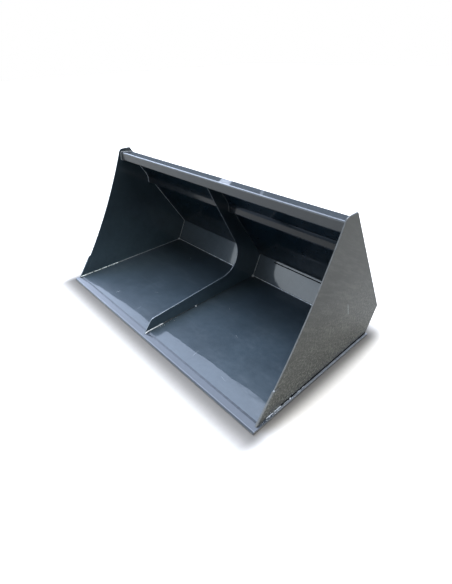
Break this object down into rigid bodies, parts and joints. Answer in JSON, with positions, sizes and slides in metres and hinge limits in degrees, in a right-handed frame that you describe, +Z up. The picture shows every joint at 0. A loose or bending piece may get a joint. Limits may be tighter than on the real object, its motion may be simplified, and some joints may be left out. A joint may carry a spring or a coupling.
{
  "type": "skid steer bucket",
  "caption": "Wide welded loader bucket with sloping back, tubular top rail, centre rib dividing it into bays, flat cutting edge, side skids and a quick-attach hitch behind.",
  "frame": {"origin": "centre of the bounding box's bottom face, on the ground under the middle of the bucket", "axes": "+X along the width to the right hand seen from the mouth, +Y from the cutting edge to the hitch, +Z up"},
  "size_m": [2.03, 1.254, 0.9375],
  "materials": {
    "dark_paint": "gloss anthracite paint",
    "side_paint": "semi-gloss anthracite paint with light orange peel",
    "edge_paint": "gloss anthracite paint over thick bar",
    "rail_paint": "gloss anthracite paint on tube",
    "hitch_paint": "semi-gloss anthracite paint",
    "wear_steel": "thin paint over scale on the underside bars",
    "weld_bead": "painted weld metal, silvery where the paint is thin"
  },
  "bodies": {
    "root": {"floor_plate": "dark_paint", "lower_back_plate": "dark_paint", "back_plate": "dark_paint", "back_stiffener": "dark_paint", "centre_rib": "dark_paint", "side_plate_left": "side_paint", "side_plate_right": "side_paint", "side_cutter_left": "side_paint", "side_cutter_right": "side_paint", "cutting_edge": "edge_paint", "side_skid_left": "edge_paint", "side_skid_right": "edge_paint", "top_rail": "rail_paint", "wear_strip_left": "wear_steel", "wear_strip_right": "wear_steel", "heel_bar": "wear_steel", "hitch_plate_left": "hitch_paint", "hitch_plate_right": "hitch_paint", "hitch_lip": "hitch_paint", "hitch_flange": "hitch_paint", "outer_gusset_left": "hitch_paint", "outer_gusset_right": "hitch_paint", "inner_gusset_left": "hitch_paint", "inner_gusset_right": "hitch_paint", "back_brace_left": "hitch_paint", "back_brace_right": "hitch_paint"}
  },
  "joints": []
}
